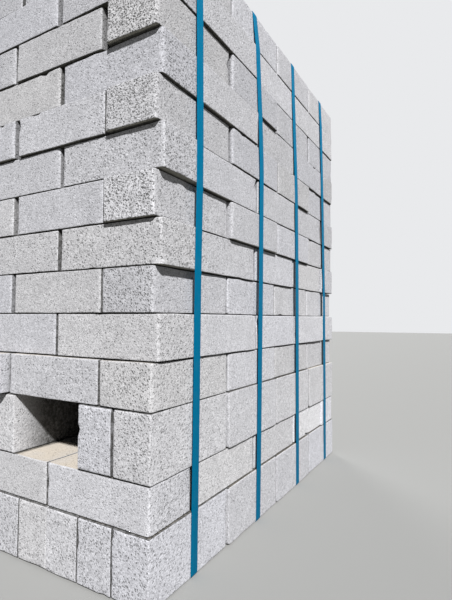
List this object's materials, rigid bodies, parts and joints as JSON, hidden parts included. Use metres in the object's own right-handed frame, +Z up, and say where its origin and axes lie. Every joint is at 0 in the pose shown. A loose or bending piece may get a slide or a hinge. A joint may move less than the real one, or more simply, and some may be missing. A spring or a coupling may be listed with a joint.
{
  "type": "strapped pack of cement bricks",
  "caption": "Pallet load of solid cement bricks stacked in crossed courses without a pallet, with fork voids near its base and plastic straps round it.",
  "frame": {"origin": "on the floor, at the middle of the ground that the pack covers", "axes": "+Z up; +X towards a side that the straps run up; -Y towards the front, where the fork voids open"},
  "size_m": [0.899, 0.926, 1.09],
  "materials": {
    "pressed_concrete": "dry-pressed grey concrete, sandy and pitted, arrises worn",
    "pet_strapping": "teal blue polyester strapping, smooth with a faint sheen"
  },
  "bodies": {
    "root": {"course_01": "pressed_concrete", "course_02": "pressed_concrete", "course_03_left": "pressed_concrete", "course_03_middle": "pressed_concrete", "course_03_right": "pressed_concrete", "course_04": "pressed_concrete", "course_05": "pressed_concrete", "course_06": "pressed_concrete", "course_07": "pressed_concrete", "course_08": "pressed_concrete", "course_09": "pressed_concrete", "course_10": "pressed_concrete", "course_11": "pressed_concrete", "course_12": "pressed_concrete", "course_13": "pressed_concrete", "course_14": "pressed_concrete", "strap_1": "pet_strapping", "strap_2": "pet_strapping", "strap_3": "pet_strapping", "strap_4": "pet_strapping"}
  },
  "joints": []
}
